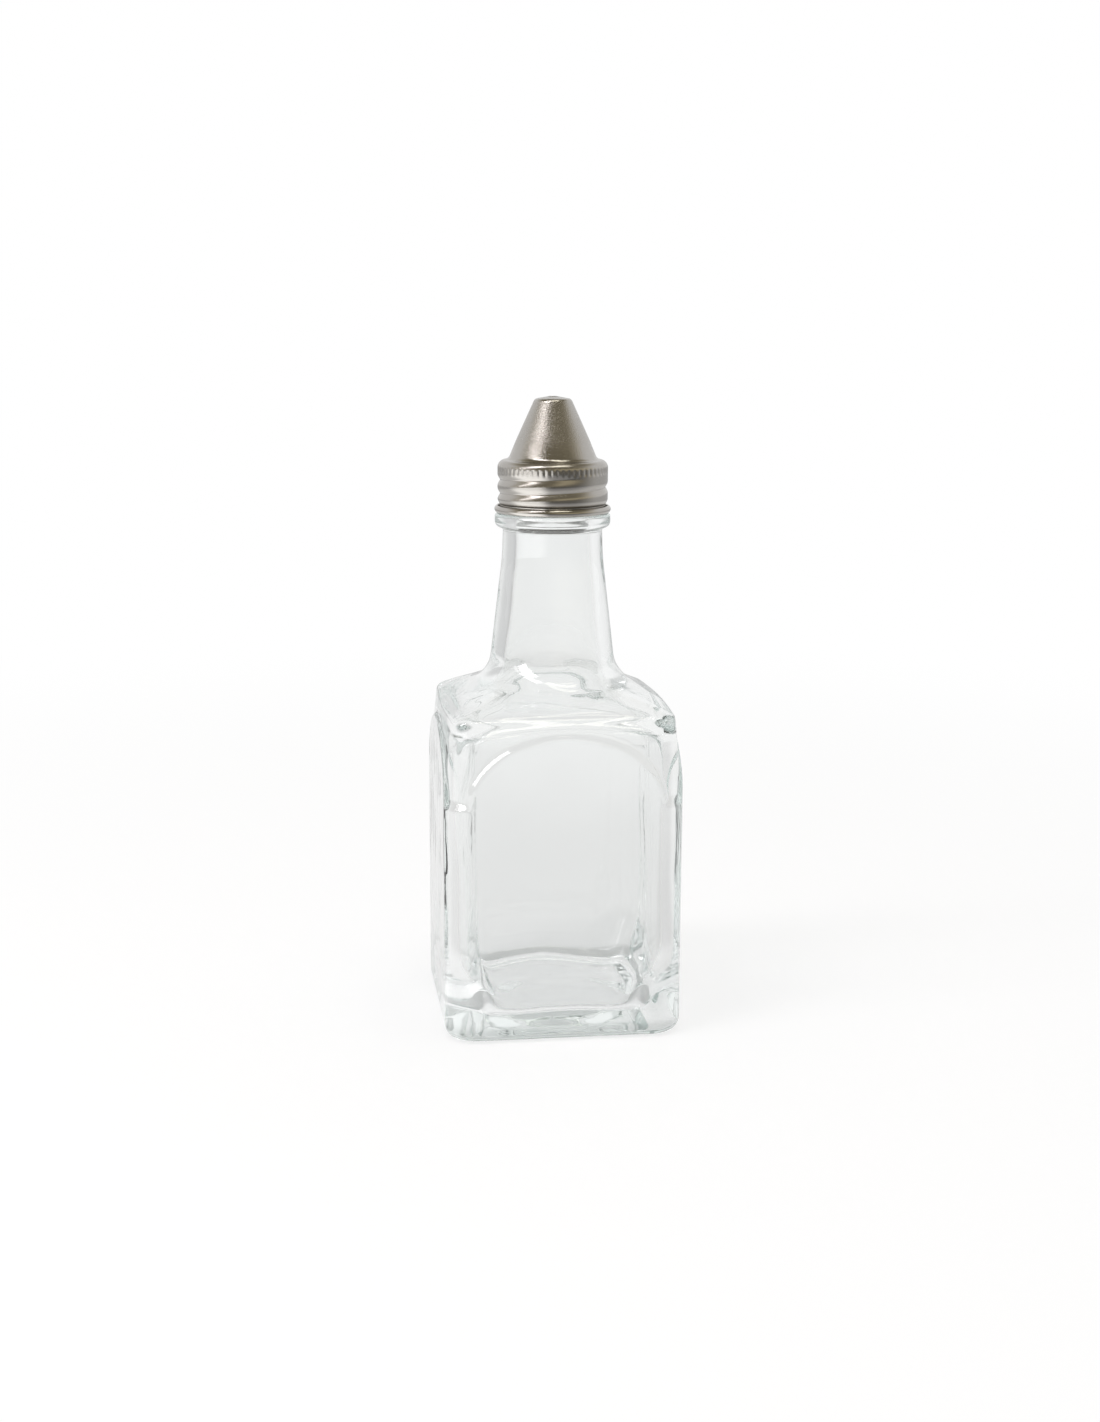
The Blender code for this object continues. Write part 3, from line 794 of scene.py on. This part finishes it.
def make_cap(helix):
    points = cap_outline()
    mesh = bpy.data.meshes.new("steel_pouring_cap")
    mesh.from_pydata([(x, 0.0, z) for x, z in points], [(i, i + 1) for i in range(len(points) - 1)], [])
    cap = new_object("steel_pouring_cap", mesh)
    add_tree(cap, pressed_cap_tree(helix), satin_steel())
    plain_mesh(cap)
    outward_faces(cap.data)
    sheet = cap.modifiers.new("sheet", "SOLIDIFY")
    sheet.thickness = CAP_WALL
    sheet.offset = 0.0
    plain_mesh(cap)
    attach(cap, "cap")
    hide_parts("screw_cap")


def dress_seal():
    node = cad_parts["sealing_gasket"]
    rubber = seal_rubber()
    for slot in node.material_slots:
        slot.material = rubber


# Floor, world and lamps


def edge_level(bench, way, path, beyond):
    """1, or less for light that was turned inside the glass before it left, least from the left past the table."""
    turned = bench.times(bench.maths("MINIMUM", path["Glossy Depth"], 1.0), path["Is Transmission Ray"])
    level = bench.ease(bench.towards(way, STUDIO_LEFT), -0.3, 0.5, EDGE_LEVEL_RIGHT, EDGE_LEVEL_LEFT)
    loss = bench.times(bench.times(turned, beyond), bench.minus(level, 1.0))
    return bench.plus(1.0, loss)


def mirrored_only(bench, path):
    """1 for light that steel or the glass's outside mirrors, 0 for what comes through the glass."""
    return bench.minus(path["Is Glossy Ray"], path["Is Transmission Ray"], clamp=True)


def table_through_glass(bench, seat, way, distance, path):
    """The table's level in the glass: painted shadow close behind the bottle and under its rim, painted shade off its
    flanks, and a little painted light under its middle.
    """
    turned = edge_level(bench, way, path, bench.ease(distance, 0.26, 0.42))
    behind = bench.ease(distance, 0.12, 0.30, 0.90, 1.0)
    # Painted shadow: through the glass the table is darker close behind the bottle.
    dimmed = bench.plus(1.0, bench.times(path["Is Transmission Ray"], bench.minus(behind, 1.0)))
    sides = bench.node("ShaderNodeVectorMath", operation="ABSOLUTE", inputs={0: seat}).outputs[0]
    reach_x, reach_y, _ = bench.split(sides)
    reach = bench.maths("MAXIMUM", reach_x, reach_y)
    # Painted shadow in a ring under the bottle's rim, and painted light under its middle.
    rim = bench.times(bench.ease(reach, 0.0225, 0.0255), bench.ease(reach, 0.0285, 0.034, 1.0, 0.0))
    painted_contact_shadow = bench.times(bench.times(rim, path["Is Transmission Ray"]), 0.12)
    beneath = bench.minus(bench.ease(distance, 0.022, 0.042, 1.05, 1.0), painted_contact_shadow)
    level = bench.times(bench.times(turned, dimmed), beneath)
    # Painted shade: through the glass the table is darker off the bottle's flanks.
    sideways = bench.maths("ABSOLUTE", bench.towards(way, STUDIO_RIGHT))
    flank = bench.times(bench.ease(sideways, 0.70, 0.98, 0.0, 0.13), bench.ease(distance, 0.05, 0.09))
    return bench.minus(level, bench.times(flank, path["Is Transmission Ray"]))


def table_mirrored_loss(bench, way, distance):
    """How much darker the table is where it is mirrored: painted shade most in front, and a painted reflection of the
    window that brightens it towards the window.
    """
    # Painted shade: the mirrored table is darker on the camera's side and far off.
    front = bench.ease(bench.towards(way, STUDIO_BACK), -0.8, 0.3, 1.0, 0.0)
    front = bench.times(front, bench.ease(distance, 0.02, 0.18))
    loss = bench.plus(bench.ease(distance, 0.30, 0.80, 0.13, 0.44), bench.times(front, 0.46))
    # Painted reflection: the window's sheen and gleam are painted on the mirrored table.
    sheen = bench.times(bench.ease(bench.towards(way, SHEEN_WAY), 0.66, 0.94), bench.ease(distance, 0.02, 0.06))
    sheen = bench.times(sheen, bench.ease(distance, 0.25, 0.60, 1.3, 1.0))
    gleam = bench.ease(bench.towards(way, GLEAM_WAY), 0.80, 0.97)
    gleam = bench.times(gleam, bench.ease(distance, 0.45, 0.90, 0.0, 0.9))
    return bench.minus(loss, bench.plus(sheen, gleam))


def table_top():
    """A matt table in its own right, shown white from afar and with its shadow near the bottle, with painted shadow
    and a painted window reflection where glass and steel show it.
    """
    made, bench = new_material("white_table_top")
    path = bench.node("ShaderNodeLightPath").outputs
    seat = bench.node("ShaderNodeTexCoord").outputs["Object"]
    distance = bench.node("ShaderNodeVectorMath", operation="LENGTH", inputs={0: seat}).outputs["Value"]
    way = bench.node("ShaderNodeVectorMath", operation="NORMALIZE", inputs={0: seat}).outputs[0]
    through = table_through_glass(bench, seat, way, distance, path)
    loss = table_mirrored_loss(bench, way, distance)
    level = bench.minus(through, bench.times(mirrored_only(bench, path), loss))
    lit = bench.node("ShaderNodeBsdfDiffuse", inputs={"Color": TABLE_LIT_COLOUR})
    lift = bench.node("ShaderNodeEmission", inputs={"Color": WHITE, "Strength": bench.minus(level, TABLE_LIT_SHARE)})
    near = bench.node("ShaderNodeAddShader", inputs={0: lit.outputs[0], 1: lift.outputs[0]})
    far = bench.node("ShaderNodeEmission", inputs={"Color": WHITE, "Strength": level})
    shown = bench.node("ShaderNodeMixShader", inputs={
        0: bench.ease(distance, *TABLE_LIT_END), 1: near.outputs[0], 2: far.outputs[0]})
    matt = bench.node("ShaderNodeBsdfDiffuse", inputs={"Color": TABLE_MATT_COLOUR})
    seen = bench.maths("MAXIMUM", path["Is Camera Ray"], path["Is Glossy Ray"])
    seen = bench.maths("MAXIMUM", seen, path["Is Transmission Ray"])
    whole = bench.node("ShaderNodeMixShader", inputs={0: seen, 1: matt.outputs[0], 2: shown.outputs[0]})
    bench.node("ShaderNodeOutputMaterial", inputs={"Surface": whole.outputs[0]})
    return made


def lay_floor():
    """A pale table that keeps the shadow near the object and goes white with distance."""
    mesh = bpy.data.meshes.new("white_table")
    mesh.from_pydata([(-4, -4, 0), (4, -4, 0), (4, 4, 0), (-4, 4, 0)], [], [(0, 1, 2, 3)])
    table = new_object("white_table", mesh)
    table.data.materials.append(table_top())


def light_world():
    """White behind and below, dimmer on the camera's side for what metal and glass mirror."""
    world = bpy.data.worlds.new("white_studio")
    bpy.context.scene.world = world
    world.use_nodes = True
    world.node_tree.nodes.clear()
    bench = Bench(world.node_tree)
    way = bench.node("ShaderNodeTexCoord").outputs["Generated"]
    height = bench.split(way)[2]
    path = bench.node("ShaderNodeLightPath").outputs
    away = bench.towards(way, STUDIO_BACK)
    glow = bench.times(bench.ease(away, -0.55, 0.35), bench.minus(1.0, bench.ease(height, 0.55, 0.85)))
    dark_side = bench.minus(1.0, glow)

    low_band = bench.times(bench.ease(height, 0.0, 0.12), bench.ease(height, 0.35, 0.52, LOW_BAND, 0.0))
    low_band = bench.times(low_band, bench.ease(bench.towards(way, STUDIO_RIGHT), -0.2, 0.3))
    mirrored = bench.plus(MIRRORED_DARK_SIDE, bench.times(glow, MIRRORED_BRIGHT_SIDE))
    mirrored = bench.plus(mirrored, bench.times(low_band, dark_side))
    level_part = bench.ease(bench.maths("ABSOLUTE", height), 0.15, 0.45, 1.0, 0.0)
    through = bench.times(bench.ease(away, -0.8, 0.2, 0.88, 1.0), edge_level(bench, way, path, level_part))

    level = DAYLIGHT
    for ray, wanted in (("Is Glossy Ray", mirrored), ("Is Transmission Ray", through), ("Is Camera Ray", 1.0)):
        level = bench.plus(level, bench.times(path[ray], bench.minus(wanted, level)))
    tone = bench.node("ShaderNodeMixRGB", inputs={
        "Fac": bench.times(dark_side, mirrored_only(bench, path)), "Color1": WHITE, "Color2": DARK_SIDE_TONE})
    sky = bench.node("ShaderNodeBackground", inputs={"Color": tone.outputs["Color"], "Strength": level})
    bench.node("ShaderNodeOutputWorld", inputs={"Surface": sky.outputs[0]})


def hang_lamp(name, place, aim, lean, width, height, power, colour):
    """A flat lamp of the given size at a place, facing its aim and leant by so many degrees in its own plane."""
    data = bpy.data.lights.new(name, "AREA")
    data.shape = "RECTANGLE"
    data.size = width
    data.size_y = height
    data.energy = power
    data.color = colour
    lamp = bpy.data.objects.new(name, data)
    bpy.context.scene.collection.objects.link(lamp)
    facing = (Vector(aim) - Vector(place)).to_track_quat("-Z", "Y").to_matrix().to_4x4()
    lamp.matrix_world = Matrix.Translation(place) @ facing @ Matrix.Rotation(math.radians(lean), 4, "Z")
    lamp.visible_camera = False
    return lamp


def show_on(lamp, piece):
    """Lets a lamp show in one piece's outer skin and light nothing else."""
    reached = bpy.data.collections.new(lamp.name + "_reaches")
    reached.objects.link(piece)
    lamp.light_linking.receiver_collection = reached
    lamp.visible_transmission = False


def light_studio(bottle):
    light_world()
    arch_window = hang_lamp("arch_window", (-0.693, -0.450, 0.585), (-0.017, -0.028, 0.068), -20,
                            0.32, 0.76, 8.0, ARCH_WINDOW_COLOUR)
    show_on(arch_window, bottle)
    neck = (0, 0, 0.10)
    hang_lamp("low_window", (-0.74, -0.32, 0.60), neck, -12, 0.44, 0.66, 0.65, WINDOW_COLOUR)
    hang_lamp("window_bar", (-0.74, -0.25, 0.62), neck, -25, 0.10, 0.80, 0.68, WINDOW_COLOUR)
    hang_lamp("high_window", (-0.43, -0.30, 0.97), neck, -30, 0.17, 0.42, 1.5, WINDOW_COLOUR)
    shoulder = (0, 0, 0.08)
    hang_lamp("front_box", (0.12, -0.30, 1.10), shoulder, 0, 0.56, 0.14, 0.8, BOX_COLOUR)
    hang_lamp("top_box", (0.12, -0.08, 1.13), shoulder, 0, 0.56, 0.10, 0.5, BOX_COLOUR)


def main():
    scene = bpy.context.scene
    scene.view_settings.view_transform = "Standard"
    scene.cycles.max_bounces = 32
    scene.cycles.glossy_bounces = 24
    scene.cycles.transmission_bounces = 32
    put_camera()
    helix = helix_tree()
    bottle = make_bottle(helix)
    make_cap(helix)
    dress_seal()
    lay_floor()
    light_studio(bottle)


main()
